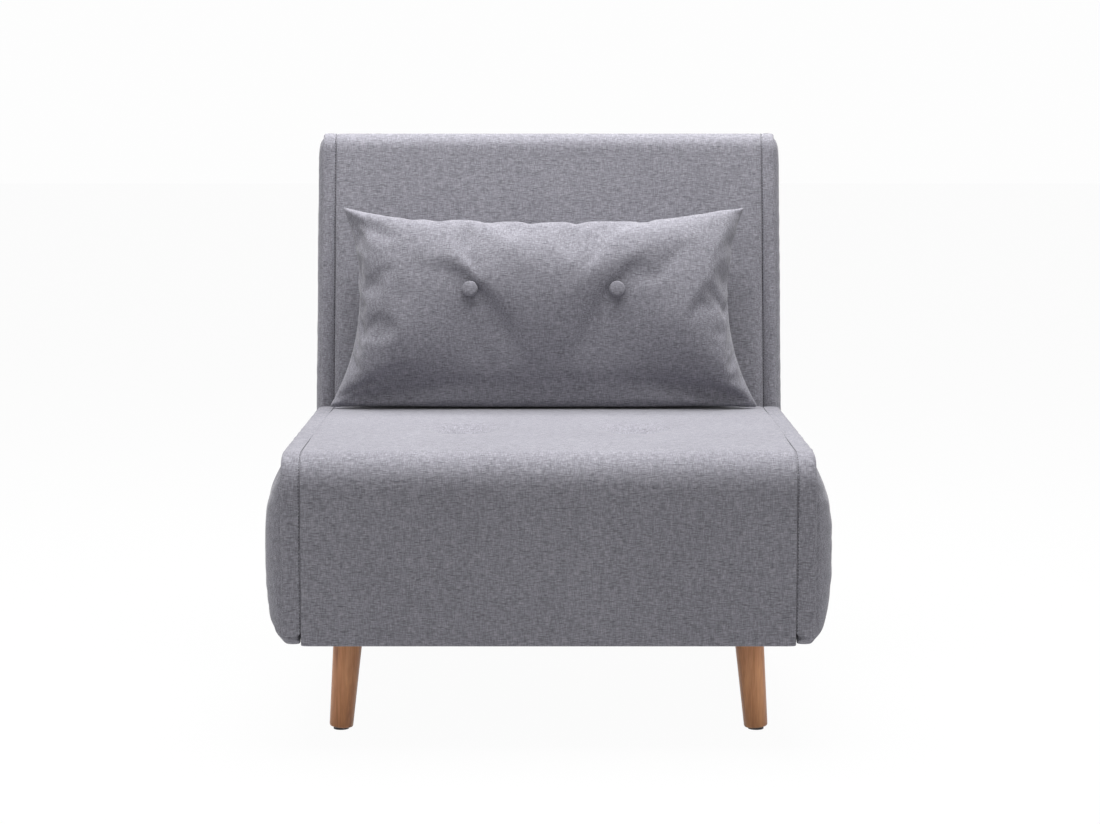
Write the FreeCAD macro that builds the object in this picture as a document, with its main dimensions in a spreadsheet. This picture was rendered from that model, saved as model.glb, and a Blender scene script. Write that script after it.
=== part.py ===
import FreeCAD, Part
import math
import os
import Sketcher
from FreeCAD import Placement, Rotation, Vector

# Convertible chair bed, one person wide, with an armless upholstered seat on
# wooden legs. The back is two padded panels folded against each other. They are
# hinged together at the top, so pulling the seat forward lays both of them down
# flat behind it, level with the seat, and the three pads make one long bed.
#
# Millimetres. X runs across the chair, Y runs from front to rear and Z is up.
# The origin is on the floor, under the middle of the chair's overall box.

# Driving sizes, each one set by itself
SIZES = {
    # outside of the chair
    "seat_height": 405.0,
    "seat_depth": 608.0,
    "overall_height": 830.0,
    "cover_width": 720.0,
    "block_bottom": 143.0,
    "back_lean": 12.0,
    # upholstery
    "seat_front_radius": 50.0,
    "seat_foam_thickness": 127.0,
    "apron_thickness": 30.0,
    "seat_crown": 4.0,
    "seat_bulge": 30.0,
    "seat_bulge_radius": 27.0,
    "seat_flange_width": 25.0,
    "back_flange_width": 21.0,
    "flange_thickness": 5.0,
    "flange_corner_radius": 20.0,
    "seat_tuft_spacing": 248.0,
    "seat_tuft_setback": 278.0,
    "seat_tuft_radius": 58.0,
    "seat_tuft_depth": 15.0,
    "seat_button_diameter": 24.0,
    "soft_gap": 0.3,
    # folding panels of the back
    "panel_thickness": 110.0,
    "panel_crown": 4.0,
    "panel_top_radius": 27.0,
    "panel_low_radius": 25.0,
    "panel_bulge": 10.0,
    "panel_bulge_radius": 9.0,
    "fold_gap": 24.0,
    "end_gap": 2.0,
    "back_lower_reach": 98.0,
    "rear_lower_reach": 90.0,
    "sweep_clearance": 4.0,
    # timber frame of the seat
    "rail_thickness": 22.0,
    "frame_rear_setback": 58.0,
    "strap_width": 50.0,
    "strap_thickness": 2.5,
    "strap_count": 5.0,
    "dust_cover_thickness": 1.5,
    "leg_bearer_width": 70.0,
    # wooden legs
    "leg_top_diameter": 42.0,
    "leg_foot_diameter": 33.0,
    "leg_spacing": 560.0,
    "leg_splay": 12.0,
    "rear_leg_rake": 14.0,
    "front_leg_setback": 130.0,
    "rear_leg_offset": 12.0,
    "leg_plate_size": 56.0,
    "leg_plate_thickness": 3.0,
    "glide_diameter": 22.0,
    "glide_thickness": 3.0,
    # steel frames of the panels
    "tube_size": 20.0,
    "tube_wall": 1.5,
    "tube_end_margin": 14.0,
    "panel_strap_thickness": 2.0,
    # hinges
    "pin_diameter": 10.0,
    "pin_clearance": 0.05,
    "eye_radius": 9.0,
    "arm_thickness": 6.0,
    "arm_depth": 22.0,
    "arm_reach": 90.0,
    "lug_thickness": 4.0,
    "hinge_side_gap": 4.0,
    "pin_end": 1.5,
    "apex_hinge_spacing": 488.0,
    # rear trestle and middle leg
    "beam_thickness": 20.0,
    "beam_front_reach": 40.0,
    "beam_rear_reach": 45.0,
    "post_base_height": 10.0,
    "middle_hinge_height": 420.0,
    "middle_post_spacing": 500.0,
    "middle_post_diameter": 18.0,
    "middle_foot_diameter": 22.0,
    "middle_foot_thickness": 5.0,
    "middle_bar_lift": 45.0,
    # loose pillow
    "pillow_width": 655.0,
    "pillow_height": 318.0,
    "pillow_thickness": 142.0,
    "pillow_offset": -8.0,
    "pillow_side_draw": 16.0,
    "pillow_top_draw": 12.0,
    "pillow_button_spacing": 226.0,
    "pillow_button_height": 178.0,
    "pillow_button_diameter": 23.0,
    "button_thickness": 7.0,
    "pillow_tuft_radius": 38.0,
    "pillow_tuft_depth": 15.0,
}

doc = FreeCAD.newDocument("ChairBed")
sheet = doc.addObject("Spreadsheet::Sheet", "Sizes")
for row, (alias, value) in enumerate(SIZES.items(), start=1):
    sheet.set("A%d" % row, alias)
    sheet.set("B%d" % row, str(value))
    sheet.setAlias("B%d" % row, alias)
doc.recompute()


def number(formula):
    """The value of a formula of the sheet's sizes, in millimetres."""
    result = sheet.evalExpression(formula)
    return float(getattr(result, "Value", result))


# Sizes that follow from the others, as formulas of the sheet
LEAN = "(Sizes.back_lean * 1 deg)"
HINGE_DROP = "(Sizes.panel_thickness + Sizes.fold_gap / 2)"
HINGE_Z = "(Sizes.seat_height - %s)" % HINGE_DROP
HINGE_Y = "(Sizes.seat_depth + %s * (cos(%s) - (1 - sin(%s)) * tan(%s)))" % (
    HINGE_DROP, LEAN, LEAN, LEAN)
TOP_Z = "(Sizes.overall_height - %s - Sizes.panel_top_radius)" % HINGE_Z
PANEL_TOP = "((%s - (%s - Sizes.panel_top_radius) * sin(%s)) / cos(%s) + Sizes.panel_top_radius)" % (
    TOP_Z, HINGE_DROP, LEAN, LEAN)
APEX = "(%s + Sizes.end_gap)" % PANEL_TOP
DEPTH = ("(%s + (%s - Sizes.panel_top_radius) * cos(%s)"
         " + (%s - Sizes.panel_top_radius) * sin(%s) + Sizes.panel_top_radius)") % (
    HINGE_Y, HINGE_DROP, LEAN, PANEL_TOP, LEAN)
FRONT = "(-%s / 2)" % DEPTH
HALF = "(Sizes.cover_width / 2)"
SEAT_HALF = "(%s - Sizes.seat_flange_width)" % HALF
BACK_HALF = "(%s - Sizes.back_flange_width)" % HALF
RAIL_OUT = "(%s - Sizes.soft_gap)" % SEAT_HALF
ARM_OUT = "(%s - Sizes.rail_thickness)" % RAIL_OUT
ARM_IN = "(%s - Sizes.arm_thickness)" % ARM_OUT
LUG_OUT = "(%s - Sizes.hinge_side_gap)" % ARM_IN
LUG_IN = "(%s - Sizes.lug_thickness)" % LUG_OUT
POST_OUT = "(%s - 2 * Sizes.hinge_side_gap)" % LUG_IN
POST_IN = "(%s - Sizes.arm_thickness)" % POST_OUT
REAR_LUG_OUT = "(%s - Sizes.hinge_side_gap)" % POST_IN
REAR_LUG_IN = "(%s - Sizes.lug_thickness)" % REAR_LUG_OUT
FOAM_LOW = "(Sizes.seat_height - Sizes.seat_foam_thickness)"
STRAP_TOP = "(%s - Sizes.soft_gap)" % FOAM_LOW
RAIL_TOP = "(%s - Sizes.strap_thickness)" % STRAP_TOP
RAIL_LOW = "(Sizes.block_bottom + Sizes.dust_cover_thickness)"
BEAM_TOP = "(Sizes.block_bottom + Sizes.beam_thickness)"
LEG_X = "(Sizes.leg_spacing / 2)"

lean = math.radians(number("Sizes.back_lean"))
drop = number(HINGE_DROP)
hinge_y = number(HINGE_Y)
hinge_z = number(HINGE_Z)
front = number(FRONT)
gap = number("Sizes.soft_gap")
panel_top = number(PANEL_TOP)
apex = number(APEX)
seat_top = number("Sizes.seat_height")
block_low = number("Sizes.block_bottom")
eye = number("Sizes.eye_radius")
pin_radius = number("Sizes.pin_diameter / 2")
bore_radius = pin_radius + number("Sizes.pin_clearance")

# The seat's rear end keeps clear of the circle that the lower end of the back
# sweeps about its hinge as the back is laid down
low_radius = number("Sizes.panel_low_radius")
corner_y = drop - low_radius
corner_z = number("Sizes.back_lower_reach") - low_radius
sweep = math.hypot(corner_y, corner_z) + low_radius + number("Sizes.panel_crown / 2")
clear_radius = sweep + number("Sizes.sweep_clearance")
seat_rear_low = hinge_y - clear_radius
seat_rear_top = number("Sizes.seat_depth - Sizes.panel_crown - 1.5")


def rear_end(low, high):
    """The seat's rear end between two heights: two slopes that stay outside the
    swept circle, bent at their middle."""
    middle_y = (seat_rear_low + seat_rear_top) / 2
    middle_z = (low + high) / 2
    away = Vector(middle_y - hinge_y, middle_z - hinge_z, 0)
    bend = Vector(hinge_y, hinge_z, 0) + away.normalize() * (clear_radius + 2)
    return [(front + seat_rear_low, low), (front + bend.x, bend.y), (front + seat_rear_top, high)]


def corners_to_edges(corners):
    """Lines and arcs round a closed outline. Each corner is (a, b, radius, bow):
    the radius rounds it, and the bow swells the side that leaves it."""
    count = len(corners)
    corners = [tuple(corner) + (0.0,) * (4 - len(corner)) for corner in corners]
    area = sum(corners[i - 1][0] * corners[i][1] - corners[i][0] * corners[i - 1][1]
               for i in range(count))
    if area < 0:
        bows = [corner[3] for corner in corners]
        corners = corners[::-1]
        corners = [corner[:3] + (bows[(count - 2 - i) % count],)
                   for i, corner in enumerate(corners)]
    spans = []
    for i, (a, b, radius, bow) in enumerate(corners):
        here = Vector(a, b, 0)
        before = Vector(*corners[i - 1][:2], 0) - here
        after = Vector(*corners[(i + 1) % count][:2], 0) - here
        if radius <= 0:
            spans.append((here, None, here, bow))
            continue
        turn = before.getAngle(after)
        reach = radius / math.tan(turn / 2)
        inward = (before.normalize() + after.normalize()).normalize()
        start = here + before * reach
        end = here + after * reach
        middle = here + inward * (radius / math.sin(turn / 2) - radius)
        spans.append((start, middle, end, bow))
    edges = []
    for i, (start, middle, end, bow) in enumerate(spans):
        if middle is not None:
            edges.append(Part.Arc(start, middle, end))
        following = spans[(i + 1) % count][0]
        if (following - end).Length < 1e-7:
            continue
        if abs(bow) < 1e-7:
            edges.append(Part.LineSegment(end, following))
        else:
            along = (following - end).normalize()
            outward = Vector(along.y, -along.x, 0)
            edges.append(Part.Arc(end, (end + following) / 2 + outward * bow, following))
    return edges


def eye_plate(base_one, base_two, centre, radius):
    """A plate's outline from two base points up to a round eye."""
    centre = Vector(centre[0], centre[1], 0)
    points = []
    for base, side in ((base_one, 1.0), (base_two, -1.0)):
        base = Vector(base[0], base[1], 0)
        reach = centre - base
        angle = math.atan2(reach.y, reach.x)
        swing = math.asin(min(1.0, radius / reach.Length))
        length = math.sqrt(reach.Length ** 2 - radius ** 2)
        direction = angle - side * swing
        points.append(base + Vector(math.cos(direction), math.sin(direction), 0) * length)
    far = centre - (Vector(base_one[0], base_one[1], 0) + Vector(base_two[0], base_two[1], 0)) / 2
    tip = centre + far.normalize() * radius
    first = Vector(base_one[0], base_one[1], 0)
    last = Vector(base_two[0], base_two[1], 0)
    return [Part.LineSegment(first, points[0]), Part.Arc(points[0], tip, points[1]),
            Part.LineSegment(points[1], last)]


def closed_lines(points):
    """Straight sides through points that stay open at their two ends."""
    places = [Vector(point[0], point[1], 0) for point in points]
    return [Part.LineSegment(places[i], places[i + 1]) for i in range(len(places) - 1)]


def new_body(name):
    item = doc.addObject("PartDesign::Body", name)
    item.Label = name
    return item


def plane_of(item, role):
    for feature in item.Origin.OriginFeatures:
        if feature.Role == role:
            return feature
    raise ValueError(role)


def sketch_in(item, role, edges, offset=None):
    """A sketch of the given edges, its plane moved out by a bound offset."""
    drawing = item.newObject("Sketcher::SketchObject", "Outline_" + item.Name)
    drawing.AttachmentSupport = [(plane_of(item, role), "")]
    drawing.MapMode = "FlatFace"
    for edge in edges:
        drawing.addGeometry(edge, False)
    if offset is not None:
        drawing.setExpression("AttachmentOffset.Base.z", offset)
    return drawing


def circle(a, b, radius):
    return Part.Circle(Vector(a, b, 0), Vector(0, 0, 1), radius)


def pad_of(item, drawing, length):
    solid = item.newObject("PartDesign::Pad", "Pad_" + item.Name)
    solid.Profile = drawing
    solid.setExpression("Length", length)
    item.Tip = solid
    return solid


def mirrored(item, *features):
    """The same features again on the chair's other side."""
    copy = item.newObject("PartDesign::Mirrored", "Mirrored_" + item.Name)
    copy.Originals = list(features)
    copy.MirrorPlane = (plane_of(item, "YZ_Plane"), [""])
    item.Tip = copy
    return copy


def other_side(item, name):
    """The same piece on the chair's right-hand side."""
    copy = doc.addObject("Part::Mirroring", name)
    copy.Label = name
    copy.Source = item
    copy.Base = Vector(0, 0, 0)
    copy.Normal = Vector(1, 0, 0)
    return copy


def rounded_edges(item, feature, test, radius, bevel=False):
    """A fillet, or a bevel, of bound size on the edges whose every point passes a
    test."""
    doc.recompute()
    chosen = []
    for index, edge in enumerate(feature.Shape.Edges, start=1):
        points = [edge.valueAt(edge.FirstParameter + share * (edge.LastParameter - edge.FirstParameter))
                  for share in (0.0, 0.25, 0.5, 0.75, 1.0)]
        if all(test(point) for point in points):
            chosen.append("Edge%d" % index)
    kind = "Chamfer" if bevel else "Fillet"
    fillet = item.newObject("PartDesign::" + kind, kind + "_" + item.Name)
    fillet.Base = (feature, chosen)
    fillet.setExpression("Size" if bevel else "Radius", radius)
    item.Tip = fillet
    return fillet


def lean_back(item):
    """Stands a piece in the back's own frame: its Z runs up the panels, its Y runs
    through them to the rear, and its X axis is the back's lower hinge."""
    item.Placement = Placement(Vector(0, 0, 0), Rotation(Vector(1, 0, 0), -1))
    item.setExpression("Placement.Base.y", "%s + %s" % (FRONT, HINGE_Y))
    item.setExpression("Placement.Base.z", HINGE_Z)
    item.setExpression("Placement.Rotation.Angle", "-%s" % LEAN)
    return item


def block(name, length, width, height, x, y, z):
    """A straight block with every size and place bound to the sheet."""
    item = doc.addObject("Part::Box", name)
    item.Label = name
    item.setExpression("Length", length)
    item.setExpression("Width", width)
    item.setExpression("Height", height)
    item.setExpression("Placement.Base.x", x)
    item.setExpression("Placement.Base.y", y)
    item.setExpression("Placement.Base.z", z)
    return item


parts = []

# Seat cushion: one foam block over the frame, bent down at the front as the
# apron. Its top swells a little and has two sewn tufts.
tuft_x = number("Sizes.seat_tuft_spacing / 2")
foam_low = number(FOAM_LOW)


seat = new_body("seat_cushion")
apron_rear = front + number("Sizes.apron_thickness") - gap
seat_edges = corners_to_edges([
    (front, block_low), (apron_rear, block_low), (apron_rear, foam_low)]
    + rear_end(foam_low, seat_top)[:2]
    + [(front + seat_rear_top, seat_top, 0, number("Sizes.seat_crown")),
       (front, seat_top, number("Sizes.seat_front_radius"))])
drawing = sketch_in(seat, "YZ_Plane", seat_edges, "-%s" % RAIL_OUT)
pad_of(seat, drawing, "2 * %s" % RAIL_OUT)
TUFT_Z = "(Sizes.seat_height + 0.75 * Sizes.seat_crown - Sizes.seat_tuft_depth)"


def tuft_in(item, radius, depth, button, place, tilt):
    """A sewn tuft: a funnel drawn down to the button's bed. It is cut a little
    past the surface, on the same slope."""
    funnel = item.newObject("PartDesign::SubtractiveCone", "Tuft")
    funnel.setExpression("Radius1", "%s / 2 + 1" % button)
    funnel.setExpression("Radius2", "(%s / 2 + 1) + 1.4 * (%s - %s / 2 - 1)" % (button, radius, button))
    funnel.setExpression("Height", "1.4 * %s" % depth)
    funnel.Placement = Placement(place, tilt)
    item.Tip = funnel
    return funnel


# the seams of the two funnels face each other across the chair
tuft_y = front + number("Sizes.seat_tuft_setback")
for side, turn in ((-1, 0), (1, 180)):
    tuft_in(seat, "Sizes.seat_tuft_radius", "Sizes.seat_tuft_depth", "Sizes.seat_button_diameter",
            Vector(side * tuft_x, tuft_y, number(TUFT_Z)), Rotation(Vector(0, 0, 1), turn))
parts.append(seat)

# Seat gussets: the padded sides, one piece over the whole height of the block,
# which swell out beyond the flange
edge_inset = number("Sizes.flange_thickness") + gap
gusset = new_body("seat_gusset_left")
gusset_edges = corners_to_edges([
    (front + edge_inset, block_low),
    (front + seat_rear_low, block_low),
    *rear_end(foam_low, seat_top - edge_inset),
    (front + edge_inset, seat_top - edge_inset,
     number("Sizes.seat_front_radius") - edge_inset),
])
drawing = sketch_in(gusset, "YZ_Plane", gusset_edges, "(-%s - Sizes.seat_bulge)" % HALF)
solid = pad_of(gusset, drawing, "Sizes.seat_flange_width + Sizes.seat_bulge")
gusset_x = -number(HALF) - number("Sizes.seat_bulge")
rounded_edges(gusset, solid, lambda point: abs(point.x - gusset_x) < 0.01,
              "Sizes.seat_bulge_radius")
parts.append(gusset)
parts.append(other_side(gusset, "seat_gusset_right"))

# Seat flanges: flat stitched strips where the top cover overhangs the gussets.
# They run from the rear edge over the rounded front and down to the lower edge.
flange = new_body("seat_flange_left")
thick = number("Sizes.flange_thickness")
flange_edges = corners_to_edges([
    (front + seat_rear_top - 1, seat_top),
    (front, seat_top, number("Sizes.seat_front_radius")),
    (front, block_low),
    (front + thick, block_low),
    (front + thick, seat_top - thick, number("Sizes.seat_front_radius") - thick),
    (front + seat_rear_top - 1, seat_top - thick),
])
drawing = sketch_in(flange, "YZ_Plane", flange_edges, "-%s" % HALF)
solid = pad_of(flange, drawing, "Sizes.seat_flange_width")
flange_x = -number(HALF)
rounded_edges(flange, solid,
              lambda point: abs(point.x - flange_x) < 0.01 and abs(point.z - block_low) < 0.01,
              "Sizes.flange_corner_radius")
parts.append(flange)
parts.append(other_side(flange, "seat_flange_right"))


def button_in(name, role, places, z_start, reverse=False):
    """Round covered buttons with a softened rim."""
    item = new_body(name)
    drawing = sketch_in(item, role, [circle(a, b, radius) for a, b, radius in places], z_start)
    solid = item.newObject("PartDesign::Pad", "Pad_" + name)
    solid.Profile = drawing
    solid.Reversed = reverse
    solid.setExpression("Length", "Sizes.button_thickness")
    item.Tip = solid
    doc.recompute()
    rims = []
    for index, edge in enumerate(solid.Shape.Edges, start=1):
        if len(edge.Vertexes) == 1 and edge.Curve.TypeId == "Part::GeomCircle":
            rims.append((index, edge.CenterOfMass))
    return item, solid, rims


seat_button_z = "(%s + Sizes.soft_gap)" % TUFT_Z
setback = front + number("Sizes.seat_tuft_setback")
button_radius = number("Sizes.seat_button_diameter / 2")
item, solid, rims = button_in("seat_buttons", "XY_Plane",
                              [(-tuft_x, setback, button_radius), (tuft_x, setback, button_radius)],
                              seat_button_z)
top = max(centre.z for index, centre in rims)
rim = item.newObject("PartDesign::Chamfer", "Rim")
rim.Base = (solid, ["Edge%d" % index for index, centre in rims if abs(centre.z - top) < 0.01])
rim.setExpression("Size", "Sizes.button_thickness / 3")
item.Tip = rim
parts.append(item)

# Timber frame of the seat: side, front and rear rails under the foam
FRAME_FRONT = "(%s + Sizes.apron_thickness)" % FRONT
FRAME_REAR = "(%s + Sizes.seat_depth - Sizes.frame_rear_setback)" % FRONT
RAIL_HEIGHT = "(%s - %s)" % (RAIL_TOP, RAIL_LOW)
for side, name in ((-1, "seat_side_rail_left"), (1, "seat_side_rail_right")):
    x = ARM_OUT if side > 0 else "-%s" % RAIL_OUT
    parts.append(block(name, "Sizes.rail_thickness", "%s - %s" % (FRAME_REAR, FRAME_FRONT),
                       RAIL_HEIGHT, x, FRAME_FRONT, RAIL_LOW))
for name, y, reach in (("seat_front_rail", FRAME_FRONT, ARM_OUT),
                       ("seat_rear_rail", "%s - Sizes.rail_thickness" % FRAME_REAR, ARM_IN)):
    parts.append(block(name, "2 * %s" % reach, "Sizes.rail_thickness", RAIL_HEIGHT,
                       "-%s" % reach, y, RAIL_LOW))

# Webbing straps across the frame, which carry the foam
straps = new_body("seat_straps")
frame_front = number(FRAME_FRONT)
frame_rear = number(FRAME_REAR)
strap_width = number("Sizes.strap_width")
strap_count = max(2, int(round(number("Sizes.strap_count"))))
strap_step = (frame_rear - frame_front - strap_width - 80) / (strap_count - 1)
strap_edges = []
for index in range(strap_count):
    low = frame_front + 40 + index * strap_step
    strap_edges += corners_to_edges([
        (low, number(RAIL_TOP)), (low + strap_width, number(RAIL_TOP)),
        (low + strap_width, number(STRAP_TOP)), (low, number(STRAP_TOP))])
drawing = sketch_in(straps, "YZ_Plane", strap_edges, "-%s" % RAIL_OUT)
pad_of(straps, drawing, "2 * %s" % RAIL_OUT)
parts.append(straps)

# Bearer between the side rails, over the front legs
BEARER_Y = "(%s + Sizes.front_leg_setback - Sizes.leg_bearer_width / 2)" % FRONT
BEARER_LOW = "(%s + Sizes.leg_plate_thickness)" % RAIL_LOW
parts.append(block("seat_leg_bearer", "2 * %s" % ARM_OUT, "Sizes.leg_bearer_width",
                   "Sizes.rail_thickness", "-%s" % ARM_OUT, BEARER_Y, BEARER_LOW))

# Dust cover under the block, with a round opening for each front leg
dust = new_body("seat_dust_cover")
leg_x = number(LEG_X)
leg_y = front + number("Sizes.front_leg_setback")
leg_top_radius = number("Sizes.leg_top_diameter / 2")
rail_out = number(RAIL_OUT)
cover_edges = corners_to_edges([(-rail_out, frame_front), (rail_out, frame_front),
                                (rail_out, frame_rear), (-rail_out, frame_rear)])
cover_edges += [circle(side * leg_x, leg_y, leg_top_radius + 2) for side in (-1, 1)]
drawing = sketch_in(dust, "XY_Plane", cover_edges, "Sizes.block_bottom")
pad_of(dust, drawing, "Sizes.dust_cover_thickness")
parts.append(dust)


def turned_leg(name, side, y_top, y_foot, top):
    """A round tapered leg, turned straight and tilted to splay outwards. Its top
    touches the plate above it and its foot stands on the glide."""
    run = number("Sizes.leg_splay")
    rake = number(y_foot) - number(y_top)
    top_radius = number("Sizes.leg_top_diameter / 2")
    foot_radius = number("Sizes.leg_foot_diameter / 2")
    full = number(top) - number("Sizes.glide_thickness")
    rise = full
    for step in range(4):
        angle = math.atan2(math.hypot(run, rake), rise)
        rise = full - (top_radius + foot_radius) * math.sin(angle)
    length = rise / math.cos(angle)
    item = new_body(name)
    drawing = sketch_in(item, "XZ_Plane", corners_to_edges([
        (0, 0), (0, -length), (foot_radius - 1.5, -length), (foot_radius, -length + 3), (top_radius, 0)]))
    solid = item.newObject("PartDesign::Revolution", "Turned_" + name)
    solid.Profile = drawing
    solid.ReferenceAxis = (drawing, ["V_Axis"])
    solid.Angle = 360
    item.Tip = solid
    tilt = Rotation(Vector(0, 0, -1), Vector(side * run, rake, -rise))
    item.Placement = Placement(Vector(0, 0, 0), tilt)
    item.setExpression("Placement.Base.x", "%d * %s" % (side, LEG_X))
    item.setExpression("Placement.Base.y", y_top)
    item.setExpression("Placement.Base.z", "%s - %f * Sizes.leg_top_diameter" % (top, math.sin(angle) / 2))
    return item


def leg_pair(name, y_top, y_foot, top):
    """The two legs of one end of the chair."""
    pair = doc.addObject("Part::Compound", name)
    pair.Label = name
    pair.Links = [turned_leg("%s_%s" % (name, word), side, y_top, y_foot, top)
                  for side, word in ((-1, "left"), (1, "right"))]
    return pair


FRONT_LEG_Y = "(%s + Sizes.front_leg_setback)" % FRONT
parts.append(leg_pair("front_legs", FRONT_LEG_Y, FRONT_LEG_Y, RAIL_LOW))


def small_blocks(name, places, z_start, height):
    """Square steel plates of one node, each round its own centre."""
    item = new_body(name)
    half = number("Sizes.leg_plate_size / 2")
    edges = []
    for x, y in places:
        edges += corners_to_edges([(x - half, y - half), (x + half, y - half),
                                   (x + half, y + half), (x - half, y + half)])
    pad_of(item, sketch_in(item, "XY_Plane", edges, z_start), height)
    return item


def small_discs(name, places, radius, z_start, height):
    """Round pieces of one node, each round its own centre."""
    item = new_body(name)
    edges = [circle(x, y, radius) for x, y in places]
    pad_of(item, sketch_in(item, "XY_Plane", edges, z_start), height)
    return item


splay = number("Sizes.leg_splay")
glide_radius = number("Sizes.glide_diameter / 2")
parts.append(small_blocks("front_leg_plates", [(-leg_x, leg_y), (leg_x, leg_y)],
                          RAIL_LOW, "Sizes.leg_plate_thickness"))
parts.append(small_discs("front_leg_glides", [(-leg_x - splay, leg_y), (leg_x + splay, leg_y)],
                         glide_radius, "0", "Sizes.glide_thickness"))

# Hinge arms: steel plates on the side rails that pass under the back's lower
# end and rise in the gap between the two panels to the back's hinge. They rest
# on the rear trestle's beam.
hinge_line = front + hinge_y
beam_top = number(BEAM_TOP)
arm_low = beam_top + gap
arm_high = arm_low + number("Sizes.arm_depth")
arm_half = eye - 1
slope = math.tan(lean)


def middle_of_gap(z):
    """Where the middle of the gap between the panels lies at a height."""
    return hinge_line - (hinge_z - z) * slope


arm = new_body("hinge_arm_left")
arm_front = frame_rear - number("Sizes.arm_reach")
right = (middle_of_gap(arm_low) + arm_half, arm_low)
left = (middle_of_gap(arm_high) - arm_half, arm_high)
edges = eye_plate(right, left, (hinge_line, hinge_z), eye)
edges += closed_lines([left, (arm_front, arm_high), (arm_front, arm_low), right])
edges.append(circle(hinge_line, hinge_z, bore_radius))
pad_of(arm, sketch_in(arm, "YZ_Plane", edges, "-%s" % ARM_OUT), "Sizes.arm_thickness")
parts.append(arm)
parts.append(other_side(arm, "hinge_arm_right"))


def pins(name, y, z, inner, outer, leaning):
    """A pair of hinge pins, one on each side of the chair."""
    item = new_body(name)
    drawing = sketch_in(item, "YZ_Plane", [circle(y, z, pin_radius)], "%s - Sizes.pin_end" % inner)
    drawing.addConstraint(Sketcher.Constraint("Diameter", 0, 2 * pin_radius))
    drawing.setExpression("Constraints[0]", "Sizes.pin_diameter")
    solid = pad_of(item, drawing, "%s - %s + 2 * Sizes.pin_end" % (outer, inner))
    mirrored(item, solid)
    if leaning:
        lean_back(item)
    return item


parts.append(pins("seat_hinge_pins", hinge_line, hinge_z, LUG_IN, ARM_OUT, False))


# Folding panels. Both are made in the back's own frame: side is -1 for the front
# panel, whose pad faces forward, and 1 for the rear panel, which faces the rear.
def panel_pad(name, side, low, half):
    """A panel's foam pad, swelling to its middle, with rounded ends."""
    item = new_body(name)
    face = side * drop
    under = side * (drop - pad_depth + gap)
    drawings = []
    for share in (-1.0, -0.55, 0.0, 0.55, 1.0):
        crown = max(0.5, number("Sizes.panel_crown") * (1 - share ** 2))
        edges = corners_to_edges([
            (under, low), (face, low, low_radius, crown),
            (face, panel_top, number("Sizes.panel_top_radius")), (under, panel_top)])
        drawings.append(sketch_in(item, "YZ_Plane", edges,
                                  "%s * (%s - Sizes.soft_gap)" % (share, half)))
    solid = item.newObject("PartDesign::AdditiveLoft", "Loft_" + name)
    solid.Profile = drawings[0]
    solid.Sections = drawings[1:]
    item.Tip = solid
    return lean_back(item)


def panel_gusset(name, side, low):
    """A panel's padded side, which swells out beyond the flange."""
    item = new_body(name)
    face = side * (drop - edge_inset)
    under = side * (drop - number("Sizes.panel_thickness"))
    edges = corners_to_edges([
        (under, low), (face, low, low_radius - edge_inset),
        (face, panel_top - edge_inset, number("Sizes.panel_top_radius") - edge_inset),
        (under, panel_top - edge_inset)])
    solid = pad_of(item, sketch_in(item, "YZ_Plane", edges, "(-%s - Sizes.panel_bulge)" % HALF),
                   "Sizes.back_flange_width + Sizes.panel_bulge")
    outer = -number(HALF) - number("Sizes.panel_bulge")
    rounded_edges(item, solid, lambda point: abs(point.x - outer) < 0.01,
                  "Sizes.panel_bulge_radius", True)
    return lean_back(item)


def panel_flange(name, side, low):
    """The stitched strip along a panel's face and over its top end."""
    item = new_body(name)
    thick = number("Sizes.flange_thickness")
    radius = number("Sizes.panel_top_radius")
    face = side * drop
    inner = side * (drop - thick)
    under = side * (drop - number("Sizes.panel_thickness") + 8)
    edges = corners_to_edges([
        (face, low + low_radius), (face, panel_top, radius), (under, panel_top),
        (under, panel_top - thick), (inner, panel_top - thick, radius - thick),
        (inner, low + low_radius)])
    pad_of(item, sketch_in(item, "YZ_Plane", edges, "-%s" % HALF), "Sizes.back_flange_width")
    return lean_back(item)


tube = number("Sizes.tube_size")
wall = number("Sizes.tube_wall")
tube_under = number("Sizes.fold_gap / 2 + 2")
pad_depth = number("Sizes.panel_thickness") - 2 - tube - number("Sizes.panel_strap_thickness")
back_half = number("(%s - Sizes.soft_gap)" % BACK_HALF)
TUBE_IN = "(%s - Sizes.soft_gap - Sizes.tube_size)" % BACK_HALF
margin = number("Sizes.tube_end_margin")


def hollow_square(a, b, size, thickness):
    edges = corners_to_edges([(a, b), (a + size, b), (a + size, b + size), (a, b + size)])
    c = a + thickness
    d = b + thickness
    inner = size - 2 * thickness
    return edges + corners_to_edges([(c, d), (c + inner, d), (c + inner, d + inner), (c, d + inner)])


def side_tube(name, side):
    """A square steel tube along a panel's edge."""
    item = new_body(name)
    x = -back_half
    y = tube_under if side > 0 else -tube_under - tube
    reach = "Sizes.back_lower_reach" if side < 0 else "Sizes.rear_lower_reach"
    length = "(%s + %s - 2 * Sizes.tube_end_margin)" % (PANEL_TOP, reach)
    start = "(Sizes.tube_end_margin - %s)" % reach
    pad_of(item, sketch_in(item, "XY_Plane", hollow_square(x, y, tube, wall), start), length)
    return lean_back(item)


def cross_tubes(name, side, heights):
    """Square steel tubes between a panel's side tubes."""
    item = new_body(name)
    y = tube_under if side > 0 else -tube_under - tube
    edges = []
    for height in heights:
        edges += hollow_square(y, height - tube / 2, tube, wall)
    pad_of(item, sketch_in(item, "YZ_Plane", edges, "-%s" % TUBE_IN), "2 * %s" % TUBE_IN)
    return lean_back(item)


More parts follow.
